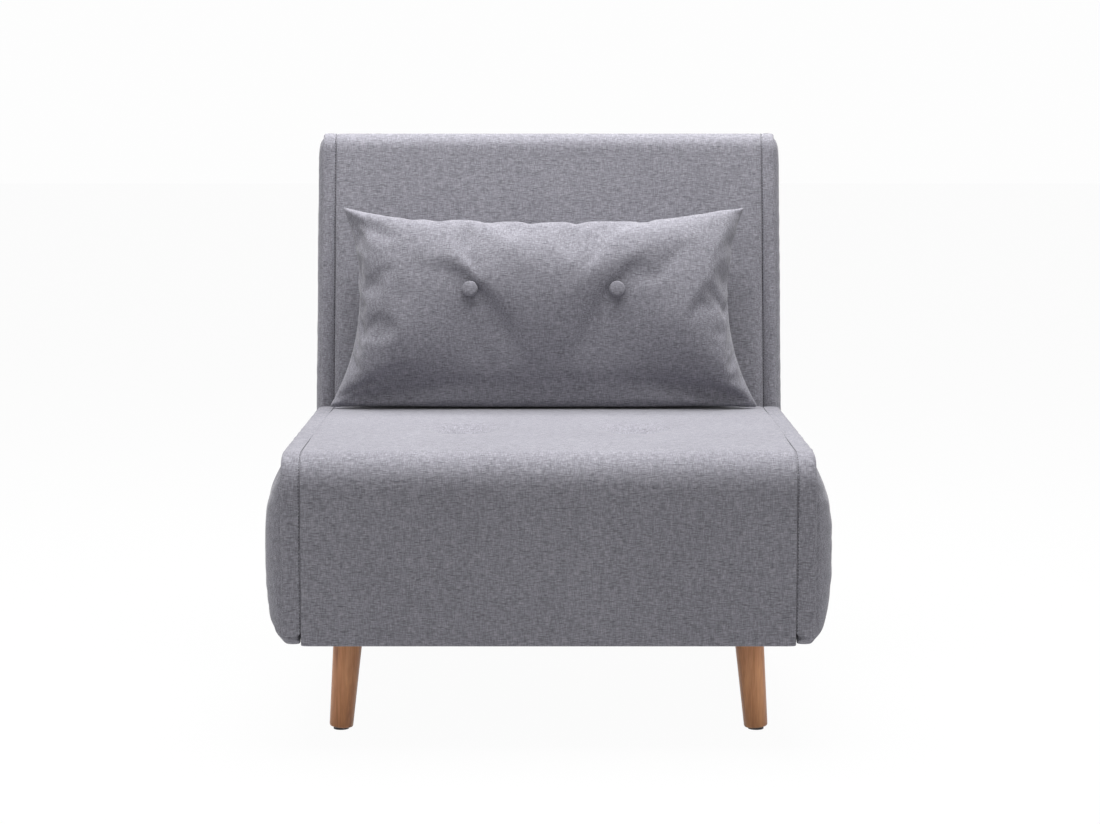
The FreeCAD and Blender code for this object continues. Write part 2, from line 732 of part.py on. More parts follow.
def panel_straps(name, side, low):
    """Webbing straps across a panel's frame, which carry its pad."""
    item = new_body(name)
    near = side * (tube_under + tube)
    far = near + side * number("Sizes.panel_strap_thickness")
    lowest = low + 40
    step = (panel_top - 40 - strap_width - lowest) / (strap_count - 1)
    edges = []
    for index in range(strap_count):
        z = lowest + index * step
        edges += corners_to_edges([(near, z), (far, z), (far, z + strap_width), (near, z + strap_width)])
    reach = "(%s - Sizes.soft_gap)" % BACK_HALF
    pad_of(item, sketch_in(item, "YZ_Plane", edges, "-%s" % reach), "2 * %s" % reach)
    return lean_back(item)


def lugs(name, places, inner, thickness="Sizes.lug_thickness"):
    """Pairs of eye plates welded to cross tubes. Each place is the tube's height,
    the eye's height and the side of the gap that carries it."""
    item = new_body(name)
    edges = []
    for tube_height, eye_height, side in places:
        root = side * tube_under
        low = (root, tube_height - tube / 2)
        high = (root, tube_height + tube / 2)
        first, second = (low, high) if side < 0 else (high, low)
        edges += eye_plate(first, second, (0, eye_height), eye)
        edges += closed_lines([second, first])
        edges.append(circle(0, eye_height, bore_radius))
    solid = pad_of(item, sketch_in(item, "YZ_Plane", edges, inner), thickness)
    mirrored(item, solid)
    return lean_back(item)


back_low = -number("Sizes.back_lower_reach")
rear_low = -number("Sizes.rear_lower_reach")
apex_tube = apex - number("Sizes.end_gap") - margin - tube / 2
middle_hinge = number("Sizes.middle_hinge_height")
for side, family, low, heights in (
        (-1, "back", back_low, (0.0, middle_hinge, apex_tube)),
        (1, "rear", rear_low, (0.0, middle_hinge / 2, apex_tube))):
    parts.append(panel_pad(family + "_cushion", side, low, BACK_HALF))
    for left in (panel_gusset(family + "_gusset_left", side, low),
                 panel_flange(family + "_flange_left", side, low),
                 side_tube(family + "_side_tube_left", side)):
        parts.append(left)
        parts.append(other_side(left, left.Label.replace("left", "right")))
    parts.append(cross_tubes(family + "_cross_tubes", side, heights))
    parts.append(panel_straps(family + "_straps", side, low))

# Lower hinges: the front panel turns on the seat's arms, the rear panel on the
# trestle's posts, on one common line
parts.append(lugs("back_hinge_lugs", [(0.0, 0.0, -1)], LUG_IN))
parts.append(lugs("rear_hinge_lugs", [(0.0, 0.0, 1)], REAR_LUG_IN))

# Upper hinge between the two panels, in the gap just above their ends
APEX_IN = "(Sizes.apex_hinge_spacing / 2)"
APEX_REAR = "(%s + Sizes.lug_thickness + Sizes.hinge_side_gap)" % APEX_IN
parts.append(lugs("back_apex_lugs", [(apex_tube, apex, -1)], APEX_IN))
parts.append(lugs("rear_apex_lugs", [(apex_tube, apex, 1)], APEX_REAR))
parts.append(pins("apex_pins", 0, apex, APEX_IN,
                  "(%s + Sizes.lug_thickness)" % APEX_REAR, True))

# Middle leg: a steel frame folded up in the gap, which hangs down under the
# front panel when the bed is open
MIDDLE_X = "(Sizes.middle_post_spacing / 2)"
MIDDLE_OUT = "(%s + Sizes.middle_post_diameter / 2)" % MIDDLE_X
MIDDLE_LUG = "(%s + Sizes.hinge_side_gap / 2)" % MIDDLE_OUT
parts.append(lugs("middle_leg_lugs", [(middle_hinge, middle_hinge, -1)], MIDDLE_LUG))
parts.append(pins("middle_leg_pins", 0, middle_hinge,
                  "(%s - Sizes.middle_post_diameter / 2)" % MIDDLE_X,
                  "(%s + Sizes.lug_thickness)" % MIDDLE_LUG, True))
middle_x = number(MIDDLE_X)
middle_radius = number("Sizes.middle_post_diameter / 2")
middle_foot = middle_hinge - hinge_z
FOOT_Z = "(Sizes.middle_hinge_height - %s)" % HINGE_Z
POST_LENGTH = "(%s - Sizes.middle_foot_thickness + Sizes.middle_post_diameter / 2)" % HINGE_Z
post = new_body("middle_leg_post_left")
drawing = sketch_in(post, "XY_Plane", [circle(-middle_x, 0, middle_radius)],
                    "%s + Sizes.middle_foot_thickness" % FOOT_Z)
solid = pad_of(post, drawing, POST_LENGTH)
doc.recompute()
uncut = solid.Shape.Volume
bore = sketch_in(post, "YZ_Plane", [circle(0, middle_hinge, bore_radius)])
hole = post.newObject("PartDesign::Pocket", "Bore_" + post.Name)
hole.Profile = bore
hole.Type = 1
post.Tip = hole
doc.recompute()
if hole.Shape.Volume > uncut - 1:
    hole.Reversed = True
lean_back(post)
parts.append(post)
parts.append(other_side(post, "middle_leg_post_right"))
bar = new_body("middle_leg_bar")
drawing = sketch_in(bar, "YZ_Plane",
                    [circle(0, middle_foot + number("Sizes.middle_bar_lift"), middle_radius - 2)],
                    "(Sizes.middle_post_diameter / 2 - %s)" % MIDDLE_X)
pad_of(bar, drawing, "(2 * %s - Sizes.middle_post_diameter)" % MIDDLE_X)
parts.append(lean_back(bar))
feet = small_discs("middle_leg_feet", [(-middle_x, 0), (middle_x, 0)],
                   number("Sizes.middle_foot_diameter / 2"), FOOT_Z, "Sizes.middle_foot_thickness")
parts.append(lean_back(feet))

# Rear trestle: a beam on the two rear legs, with a post on each side up to the
# rear panel's hinge. It stays upright as the bed opens.
beam_front = number("Sizes.beam_front_reach")
beam_rear = number("Sizes.beam_rear_reach")
parts.append(block("trestle_beam", "2 * %s" % ARM_OUT, "Sizes.beam_front_reach + Sizes.beam_rear_reach",
                   "Sizes.beam_thickness", "-%s" % ARM_OUT,
                   "%s + %s - Sizes.beam_front_reach" % (FRONT, HINGE_Y), "Sizes.block_bottom"))
post_high = beam_top + number("Sizes.post_base_height")
post = new_body("trestle_post_left")
right = (middle_of_gap(post_high) + arm_half, post_high)
left = (middle_of_gap(post_high) - arm_half, post_high)
edges = eye_plate(right, left, (hinge_line, hinge_z), eye)
edges += closed_lines([
    left, (hinge_line - beam_front + 5, post_high), (hinge_line - beam_front + 5, beam_top),
    (hinge_line + beam_rear - 15, beam_top), (hinge_line + beam_rear - 15, post_high), right])
edges.append(circle(hinge_line, hinge_z, bore_radius))
pad_of(post, sketch_in(post, "YZ_Plane", edges, "-%s" % POST_OUT), "Sizes.arm_thickness")
parts.append(post)
parts.append(other_side(post, "trestle_post_right"))
parts.append(pins("trestle_pins", hinge_line, hinge_z, REAR_LUG_IN, POST_OUT, False))
REAR_LEG_Y = "(%s + %s + Sizes.rear_leg_offset)" % (FRONT, HINGE_Y)
REAR_LEG_TOP = "(Sizes.block_bottom - Sizes.leg_plate_thickness)"
rear_leg_y = number(REAR_LEG_Y)
rake = number("Sizes.rear_leg_rake")
parts.append(leg_pair("rear_legs", REAR_LEG_Y, "%s + Sizes.rear_leg_rake" % REAR_LEG_Y, REAR_LEG_TOP))
parts.append(small_blocks("rear_leg_plates", [(-leg_x, rear_leg_y), (leg_x, rear_leg_y)],
                          REAR_LEG_TOP, "Sizes.leg_plate_thickness"))
parts.append(small_discs("rear_leg_glides",
                         [(-leg_x - splay, rear_leg_y + rake), (leg_x + splay, rear_leg_y + rake)],
                         glide_radius, "0", "Sizes.glide_thickness"))

# Loose pillow: it stands on the seat and leans on the back. Its seam outline is
# drawn in between the corners and it has two buttons, sewn through, on each face.
half_thick = number("Sizes.pillow_thickness / 2")
seam = drop + number("Sizes.panel_crown") + gap + half_thick
seat_mid = (number("Sizes.seat_front_radius") + seat_rear_top) / 2
seat_span = (seat_rear_top - number("Sizes.seat_front_radius")) / 2
seam_low = (seat_top - hinge_z - seam * math.sin(lean)) / math.cos(lean)
seam_depth = hinge_y - seam * math.cos(lean) + seam_low * math.sin(lean)
swell = number("Sizes.seat_crown") * max(0.0, 1 - ((seam_depth - seat_mid) / seat_span) ** 2)
seam_low = seam_low + (swell + 2 * gap) / math.cos(lean)
pillow_x = number("Sizes.pillow_offset")
half_wide = number("Sizes.pillow_width / 2")
tall = number("Sizes.pillow_height")
pillow = new_body("pillow_cushion")
drawings = []
for share, inset in ((-1.0, 98.0), (-0.9, 58.0), (-0.6, 22.0), (0.0, 0.0),
                     (0.6, 22.0), (0.9, 58.0), (1.0, 98.0)):
    fullness = 1 - abs(share)
    wide = half_wide - inset * 1.15
    low = seam_low + inset
    high = seam_low + tall - inset
    side_bow = -number("Sizes.pillow_side_draw") * fullness - 0.5
    top_bow = -number("Sizes.pillow_top_draw") * fullness - 0.5
    edges = corners_to_edges([
        (pillow_x - wide, low, 0, 0.5), (pillow_x + wide, low, 0, side_bow),
        (pillow_x + wide, high, 0, top_bow), (pillow_x - wide, high, 0, side_bow)])
    offset = "%f + %f * Sizes.pillow_thickness / 2" % (seam, share)
    drawings.append(sketch_in(pillow, "XZ_Plane", edges, offset))
loft = pillow.newObject("PartDesign::AdditiveLoft", "PillowLoft")
loft.Ruled = True
loft.Profile = drawings[0]
loft.Sections = drawings[1:]
pillow.Tip = loft
button_z = seam_low + number("Sizes.pillow_button_height")
button_x = number("Sizes.pillow_button_spacing / 2")
floor_of_tuft = half_thick - number("Sizes.pillow_tuft_depth")
for face in (-1, 1):
    for side in (-1, 1):
        tuft_in(pillow, "Sizes.pillow_tuft_radius", "Sizes.pillow_tuft_depth",
                "Sizes.pillow_button_diameter",
                Vector(pillow_x + side * button_x, -seam + face * floor_of_tuft, button_z),
                Rotation(Vector(1, 0, 0), -90 * face))
parts.append(lean_back(pillow))
small_radius = number("Sizes.pillow_button_diameter / 2")
for face, name in ((1, "pillow_front_buttons"), (-1, "pillow_back_buttons")):
    places = [(pillow_x - button_x, button_z, small_radius), (pillow_x + button_x, button_z, small_radius)]
    start = "%f" % (seam + face * (floor_of_tuft + gap))
    item, solid, rims = button_in(name, "XZ_Plane", places, start, face < 0)
    ends = [centre.y for index, centre in rims]
    outer = min(ends) if face > 0 else max(ends)
    rim = item.newObject("PartDesign::Chamfer", "Rim")
    rim.Base = (solid, ["Edge%d" % index for index, centre in rims
                        if abs(centre.y - outer) < 0.01])
    rim.setExpression("Size", "Sizes.button_thickness / 3")
    item.Tip = rim
    parts.append(lean_back(item))

doc.recompute()
for thing in doc.Objects:
    if "Invalid" in thing.State or "Error" in thing.State:
        raise RuntimeError("failed object: %s %s" % (thing.Label, thing.State))
for item in parts:
    if item.Shape.isNull() or not item.Shape.isValid():
        raise RuntimeError("bad shape: " + item.Label)

os.makedirs("parts", exist_ok=True)
for item in parts:
    item.Shape.exportStep("parts/%s.step" % item.Label)
print("pieces", len(parts))
print("apex %.3f depth %.3f front %.3f hinge %.3f %.3f" % (apex, number(DEPTH), front, hinge_line, hinge_z))
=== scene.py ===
import math

import bpy
import numpy as np
from mathutils import Matrix, Vector, noise


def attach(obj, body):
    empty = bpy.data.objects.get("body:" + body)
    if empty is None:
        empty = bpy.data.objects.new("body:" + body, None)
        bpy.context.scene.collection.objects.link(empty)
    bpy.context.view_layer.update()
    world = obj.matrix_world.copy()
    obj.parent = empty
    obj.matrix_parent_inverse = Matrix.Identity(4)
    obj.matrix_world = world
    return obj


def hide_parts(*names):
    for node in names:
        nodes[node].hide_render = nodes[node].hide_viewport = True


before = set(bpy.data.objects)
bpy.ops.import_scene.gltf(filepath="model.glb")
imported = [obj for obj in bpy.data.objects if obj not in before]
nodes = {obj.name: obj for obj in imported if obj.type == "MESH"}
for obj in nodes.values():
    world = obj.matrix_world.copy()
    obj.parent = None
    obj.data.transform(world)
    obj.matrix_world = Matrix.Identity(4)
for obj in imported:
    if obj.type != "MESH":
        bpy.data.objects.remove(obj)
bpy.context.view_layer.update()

# Sizes in metres. The chair faces -Y, X runs across it and Z is up.
SIDES = ((-1, "left"), (1, "right"))
CROWN = 0.004
BAND_THICKNESS = 0.005

# The seat block
FRONT = -0.466524
SEAT_FOOT = 0.143
SEAT_TOP = 0.405
CUSHION_BOTTOM = 0.278
FRONT_PADDING = 0.0297
REAR_FACE = 0.0879
REAR_TOP = 0.1360
GUSSET_INSET = 0.0053
TUFT_X = 0.124
TUFT_Y = -0.1885

# The back's own frame, in which its panels and the pillow stand upright, and how it leans
HINGE_Y = 0.240269
HINGE_Z = 0.283
LEAN = math.radians(12)
LEANING = Matrix.Translation((0, HINGE_Y, HINGE_Z)) @ Matrix.Rotation(-LEAN, 4, "X")

# The two folding panels: the way each faces, its foot, its body and its first word
PANELS = ((-1, -0.098, "back_panel", "back"), (1, -0.090, "rear_panel", "rear"))
PANEL_TOP = 0.538424
PANEL_FACE = 0.122
PANEL_BACKING = 0.0363

# The pillow. Its seam lies SEAM in front of the middle of the back
PILLOW_GAP = 0.0003
PILLOW_HALF_DEPTH = 0.071
PILLOW_HALF_TALL = 0.159
PILLOW_LOWEST = -0.1585
PILLOW_LIMIT = 0.0706
PILLOW_SHIFT = 0.008
PILLOW_BUTTONS = ((-0.121, 0.178), (0.105, 0.178))
BUTTON_DEPTH = 0.050
SEAM_RIPPLE = 0.0030
BELLY_SAG = 0.032
FILLING_STEPS = 32
SEAM = PANEL_FACE + CROWN + PILLOW_GAP + PILLOW_HALF_DEPTH
pillow_low = (SEAT_TOP - HINGE_Z - SEAM * math.sin(LEAN)) / math.cos(LEAN) + CROWN

# The turned legs
LEG_TOP_X = 0.280
LEG_FOOT_X = 0.292
GLIDE_TOP = 0.0035

# Camera: the photograph's viewpoint, in front of the chair and a little above it
camera_data = bpy.data.cameras.new("camera")
camera_data.sensor_width = 36.0
camera_data.lens = 82.1
camera = bpy.data.objects.new("camera", camera_data)
camera.location = (0.002, -3.797, 0.852)
camera.rotation_euler = (math.radians(90 - 6.65), 0, 0)
bpy.context.scene.collection.objects.link(camera)
bpy.context.scene.camera = camera
bpy.context.scene.view_settings.view_transform = "Standard"


# Materials

class Value:
    """A changing number in a material, with arithmetic written as on paper."""

    def __init__(self, finish, socket):
        self.finish = finish
        self.socket = socket

    def _maths(self, operation, *operands):
        return self.finish.node("ShaderNodeMath", {"operation": operation}, *operands)

    def __add__(self, other):
        return self._maths("ADD", self, other)

    def __sub__(self, other):
        return self._maths("SUBTRACT", self, other)

    def __rsub__(self, other):
        return self._maths("SUBTRACT", other, self)

    def __mul__(self, other):
        return self._maths("MULTIPLY", self, other)

    __radd__ = __add__
    __rmul__ = __mul__

    def clipped(self):
        """The value, kept between 0 and 1."""
        return self.finish.node("ShaderNodeClamp", {}, self)


class Finish:
    """A material of this chair, built node by node."""

    def __init__(self, name):
        self.material = bpy.data.materials.new(name)
        self.material.use_nodes = True
        self.tree = self.material.node_tree
        self.surface = self.tree.nodes["Principled BSDF"]

    def node(self, kind, settings, *inputs, out=0, **named):
        """Adds a node, sets it up and feeds its sockets, in order or by name."""
        made = self.tree.nodes.new(kind)
        for key, setting in settings.items():
            setattr(made, key, setting)
        feeds = list(enumerate(inputs))
        feeds += [(key.replace("_", " "), feed) for key, feed in named.items()]
        for key, feed in feeds:
            self.feed(made.inputs[key], feed)
        return Value(self, made.outputs[out])

    def feed(self, socket, feed):
        """Gives a socket a link or a plain value."""
        if isinstance(feed, Value):
            self.tree.links.new(feed.socket, socket)
        else:
            socket.default_value = feed

    def ramp(self, value, stops):
        """The colour that a value has between stops of (place, colour)."""
        made = self.tree.nodes.new("ShaderNodeValToRGB")
        elements = made.color_ramp.elements
        while len(elements) < len(stops):
            elements.new(0.5)
        for element, (place, colour) in zip(elements, stops):
            element.position = place
            element.color = (*colour, 1)
        self.feed(made.inputs["Fac"], value)
        return Value(self, made.outputs["Color"])

    def blend(self, share, first, second):
        """A colour between two others."""
        made = self.tree.nodes.new("ShaderNodeMix")
        made.data_type = "RGBA"
        self.feed(made.inputs[0], share)
        for key, feed in ((6, first), (7, second)):
            self.feed(made.inputs[key], (*feed, 1) if isinstance(feed, tuple) else feed)
        return Value(self, made.outputs[2])

    def stretched(self, scale):
        """Object coordinates, scaled per axis so that a pattern runs one way."""
        place = self.node("ShaderNodeTexCoord", {}, out="Object")
        return self.node("ShaderNodeMapping", {}, place, Scale=scale)

    def cloud(self, place, scale, detail=2.0, roughness=0.5, distortion=0.0):
        """A cloudy pattern."""
        return self.node("ShaderNodeTexNoise", {}, Vector=place, Scale=scale, Detail=detail,
                         Roughness=roughness, Distortion=distortion)

    def bumps(self, height, strength, distance):
        """A fine relief on the surface."""
        self.feed(self.surface.inputs["Normal"],
                  self.node("ShaderNodeBump", {}, Strength=strength, Distance=distance,
                            Height=height))

    def set(self, **named):
        """Feeds the surface's own sockets."""
        for key, feed in named.items():
            self.feed(self.surface.inputs[key.replace("_", " ")], feed)


THREAD_TONES = [(0.32, (0.130, 0.127, 0.147)), (0.45, (0.192, 0.188, 0.214)),
                (0.55, (0.244, 0.240, 0.270)), (0.68, (0.330, 0.325, 0.358))]
SLUB_TONE = (0.085, 0.083, 0.096)
LEG_TONES = [(0.30, (0.340, 0.115, 0.038)), (0.48, (0.590, 0.240, 0.092)),
             (0.62, (0.740, 0.345, 0.145)), (0.75, (0.800, 0.430, 0.210))]
FRAME_TONES = [(0.30, (0.36, 0.22, 0.11)), (0.52, (0.56, 0.39, 0.22)), (0.72, (0.68, 0.50, 0.31))]


def heathered_cloth(name, along, upright):
    """Grey flat weave: fine threads both ways and short dark slubs that run one way."""
    cloth = Finish(name)

    def threads(fine, coarse, axis):
        scale = [fine, fine, fine]
        for letter in axis:
            scale["xyz".index(letter)] = coarse
        return cloth.stretched(scale)

    weft = cloth.cloud(threads(900.0, 120.0, along), 1.0, 2.0)
    warp = cloth.cloud(threads(950.0, 130.0, upright), 1.0, 1.0)
    slubs = cloth.cloud(threads(680.0, 95.0, along), 1.0, 1.0, 0.6)
    broad = cloth.cloud(cloth.stretched((1.0, 1.0, 1.0)), 7.0, 3.0)
    flecks = ((slubs - 0.60) * 11.0).clipped()
    tone = weft * 0.60 + warp * 0.40 + (broad - 0.5) * 0.08
    colour = cloth.blend(flecks * 0.6, cloth.ramp(tone, THREAD_TONES), SLUB_TONE)
    cloth.set(Base_Color=colour, Roughness=0.92, Sheen_Weight=0.22, Sheen_Roughness=0.4,
              Specular_IOR_Level=0.25)
    cloth.bumps(weft * 0.5 + warp * 0.5, 0.3, 0.0005)
    return cloth.material


def leg_timber():
    """Warm brown lacquered wood, its grain along the leg."""
    wood = Finish("leg_timber")
    grain = wood.cloud(wood.stretched((90.0, 90.0, 7.0)), 1.0, 5.0, 0.6, 0.4)
    pores = wood.cloud(wood.stretched((700.0, 700.0, 28.0)), 1.0, 2.0)
    colour = wood.ramp(grain * 0.75 + pores * 0.25, LEG_TONES)
    wood.set(Base_Color=colour, Roughness=grain * 0.15 + 0.36, Coat_Weight=0.25,
             Coat_Roughness=0.25)
    wood.bumps(pores, 0.15, 0.0003)
    return wood.material


def frame_timber():
    """Pale sawn wood of the hidden frame."""
    wood = Finish("frame_timber")
    grain = wood.cloud(wood.stretched((8.0, 60.0, 60.0)), 1.0, 5.0, 0.6, 0.6)
    wood.set(Base_Color=wood.ramp(grain, FRAME_TONES), Roughness=0.62)
    wood.bumps(grain, 0.2, 0.0006)
    return wood.material


def plain_finish(name, dark, light, scale, rough, metallic=0.0, height=0.0004):
    """A finish with a fine mottle between two close colours."""
    made = Finish(name)
    mottle = made.cloud(made.stretched((1.0, 1.0, 1.0)), scale, 4.0, 0.6)
    made.set(Base_Color=made.ramp(mottle, [(0.35, dark), (0.65, light)]),
             Roughness=mottle * 0.2 + (rough - 0.1), Metallic=metallic)
    made.bumps(mottle, 0.2, height)
    return made.material


cloth_across = heathered_cloth("heathered_cloth_across", "x", "yz")
cloth_lengthwise = heathered_cloth("heathered_cloth_lengthwise", "y", "xz")
brown_wood = leg_timber()
pale_wood = frame_timber()
black_steel = plain_finish("black_steel", (0.018, 0.018, 0.020), (0.030, 0.030, 0.033),
                           1800, 0.42)
bright_steel = plain_finish("bright_steel", (0.50, 0.50, 0.51), (0.66, 0.66, 0.67),
                            700, 0.30, 1.0, 0.0001)
black_lining = plain_finish("black_lining", (0.010, 0.010, 0.011), (0.034, 0.034, 0.036),
                            900, 0.95)
webbing = plain_finish("webbing", (0.07, 0.055, 0.045), (0.17, 0.145, 0.12), 650, 0.9)
glide_plastic = plain_finish("glide_plastic", (0.020, 0.020, 0.021), (0.036, 0.036, 0.038),
                             1500, 0.55)
dark_thread = plain_finish("dark_thread", (0.020, 0.020, 0.024), (0.045, 0.045, 0.050),
                           2500, 0.8)


# Shaping

def alone(obj):
    """Only this object is selected and active."""
    bpy.ops.object.select_all(action="DESELECT")
    obj.select_set(True)
    bpy.context.view_layer.objects.active = obj


def points_of(obj):
    """The places of a mesh's points, a row for each."""
    flat = np.empty(len(obj.data.vertices) * 3)
    obj.data.vertices.foreach_get("co", flat)
    return flat.reshape(-1, 3)


def put_points(obj, points):
    """Moves a mesh's points."""
    obj.data.vertices.foreach_set("co", np.ascontiguousarray(points, dtype=float).ravel())
    obj.data.update()


def faces_outward(obj):
    """Turns every face of a closed piece outwards."""
    alone(obj)
    bpy.ops.object.mode_set(mode="EDIT")
    bpy.ops.mesh.select_all(action="SELECT")
    bpy.ops.mesh.normals_make_consistent(inside=False)
    bpy.ops.object.mode_set(mode="OBJECT")


def rounded_outline(corners, step=0.009):
    """The closed outline through corners (a, b, radius), with even small steps."""
    count = len(corners)
    arcs = []
    for index, (a, b, radius) in enumerate(corners):
        here = Vector((a, b))
        before = (Vector(corners[index - 1][:2]) - here).normalized()
        after = (Vector(corners[(index + 1) % count][:2]) - here).normalized()
        half = before.angle(after) / 2
        reach = radius / math.tan(half)
        start = here + before * reach
        end = here + after * reach
        centre = here + (before + after).normalized() * (radius / math.sin(half))
        ray = start - centre
        turn = ray.angle_signed(end - centre)
        pieces = max(2, math.ceil(abs(turn) * radius / step))
        arc = []
        for k in range(pieces + 1):
            angle = -turn * k / pieces
            arc.append(centre + Vector((ray.x * math.cos(angle) - ray.y * math.sin(angle),
                                        ray.x * math.sin(angle) + ray.y * math.cos(angle))))
        arcs.append(arc)
    points = []
    for index, arc in enumerate(arcs):
        points += arc
        gap_start = arc[-1]
        gap_end = arcs[(index + 1) % count][0]
        runs = max(1, round((gap_end - gap_start).length / step))
        points += [gap_start.lerp(gap_end, k / runs) for k in range(1, runs)]
    return np.array([tuple(point) for point in points])


def outward(points):
    """Unit normals of a closed outline, pointing out of it."""
    following = np.roll(points, -1, axis=0)
    ahead = following - np.roll(points, 1, axis=0)
    normal = np.stack([ahead[:, 1], -ahead[:, 0]], axis=1)
    normal /= np.linalg.norm(normal, axis=1)[:, None]
    area = np.sum(points[:, 0] * following[:, 1] - following[:, 0] * points[:, 1])
    return normal * (1 if area > 0 else -1)


def ring_stack(name, sides, rings):
    """A closed tube of stacked rings, whose points are put in place afterwards."""
    bpy.ops.object.select_all(action="DESELECT")
    bpy.ops.mesh.primitive_circle_add(vertices=sides, radius=1.0, fill_type="NGON")
    stack = bpy.context.object
    stack.name = name
    bpy.ops.object.mode_set(mode="EDIT")
    bpy.ops.mesh.select_all(action="SELECT")
    for _ in range(rings - 1):
        bpy.ops.mesh.extrude_region_move(TRANSFORM_OT_translate={"value": (0, 0, 0.01)})
    bpy.ops.object.mode_set(mode="OBJECT")
    return stack


def swept_block(name, outline, stations):
    """A closed block: the outline (in Y and Z) is drawn along X through stations
    of (x, inset), so its ends can be rounded or drawn in."""
    size = len(outline)
    block = ring_stack(name, size, len(stations))
    normal = outward(outline)
    points = np.empty((len(stations) * size, 3))
    for k, (x, inset) in enumerate(stations):
        points[k * size:(k + 1) * size, 0] = x
        points[k * size:(k + 1) * size, 1:] = outline - normal * inset
    put_points(block, points)
    faces_outward(block)
    return block


def split_caps(obj):
    """Splits the many-sided end faces into triangles, so that they smooth well."""
    alone(obj)
    bpy.ops.object.mode_set(mode="EDIT")
    bpy.ops.mesh.select_mode(type="FACE")
    bpy.ops.mesh.select_all(action="DESELECT")
    bpy.ops.object.mode_set(mode="OBJECT")
    for face in obj.data.polygons:
        face.select = len(face.vertices) > 4
    bpy.ops.object.mode_set(mode="EDIT")
    bpy.ops.mesh.quads_convert_to_tris(ngon_method="BEAUTY")
    bpy.ops.object.mode_set(mode="OBJECT")


def finished(obj):
    """Smoothed by one subdivision."""
    split_caps(obj)
    fine = obj.modifiers.new("fine", "SUBSURF")
    fine.levels = 1
    fine.render_levels = 1
    bpy.ops.object.modifier_apply(modifier="fine")
    bpy.ops.object.shade_smooth()
    return obj


def leaned(obj):
    """Moves a mesh made in the back's own frame to the leaning back."""
    obj.data.transform(LEANING)
    obj.data.update()
    return obj


def dressed(obj, material, body, slot, *cad_nodes):
    """Gives a piece its finish and its body, and hides the CAD nodes that it stands for."""
    obj.data.materials.clear()
    obj.data.materials.append(material)
    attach(obj, body)
    if cad_nodes:
        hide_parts(*cad_nodes)
    return obj


# Seat cover

def cover_stations(half, step=0.009):
    """Places across the chair, with the cover drawn down to the seam at both ends."""
    ends = [(half, 0.0016), (half - 0.0006, 0.0009), (half - 0.0018, 0.0004),
            (half - 0.005, 0.0001)]
    runs = round(2 * (half - 0.012) / step)
    inner = [(-half + 0.012 + k * 2 * (half - 0.012) / runs, 0.0) for k in range(runs + 1)]
    left = [(-x, inset) for x, inset in ends]
    right = [(x, inset) for x, inset in reversed(ends)]
    return left + inner + right


seat_outline = rounded_outline([
    (FRONT, SEAT_FOOT, 0.006), (FRONT + FRONT_PADDING, SEAT_FOOT, 0.002),
    (FRONT + FRONT_PADDING, CUSHION_BOTTOM, 0.004), (REAR_FACE, CUSHION_BOTTOM, 0.003),
    (0.0998, 0.347, 0.02), (REAR_TOP, SEAT_TOP, 0.012), (FRONT, SEAT_TOP, 0.050)])
seat_cover = swept_block("seat_cover", seat_outline, cover_stations(0.3350))
points = points_of(seat_cover)
on_top = (points[:, 2] > 0.39) & (points[:, 1] < 0.13)
crown = CROWN * np.clip(1 - ((points[:, 1] + 0.14) / 0.28) ** 2, 0, 1)
points[:, 2] += np.where(on_top, crown, 0)
for tuft in (Vector((-TUFT_X, TUFT_Y)), Vector((TUFT_X, TUFT_Y))):
    away = np.hypot(points[:, 0] - tuft.x, points[:, 1] - tuft.y)
    angle = np.arctan2(points[:, 1] - tuft.y, points[:, 0] - tuft.x)
    folds = 0.5 + 0.5 * np.cos(6 * angle + 0.8 * np.sin(3 * angle + tuft.x * 40))
    creases = 0.0012 * folds * np.clip(away / 0.02, 0, 1) * np.exp(-(away / 0.055) ** 2)
    hollow = 0.0150 * np.exp(-(away / 0.040) ** 2) + 0.0070 * np.exp(-(away / 0.014) ** 2)
    points[:, 2] -= np.where(on_top, hollow + creases, 0)
put_points(seat_cover, points)
finished(seat_cover)
dressed(seat_cover, cloth_across, "seat_unit", "grey_fabric", "seat_cushion")


# Padded sides

SIDE_DEPTHS = (0.0, 0.0, 0.002, 0.005, 0.009, 0.014, 0.020, 0.028, 0.037, 0.047, 0.058, 0.070,
               0.083, 0.097, 0.112, 0.124)


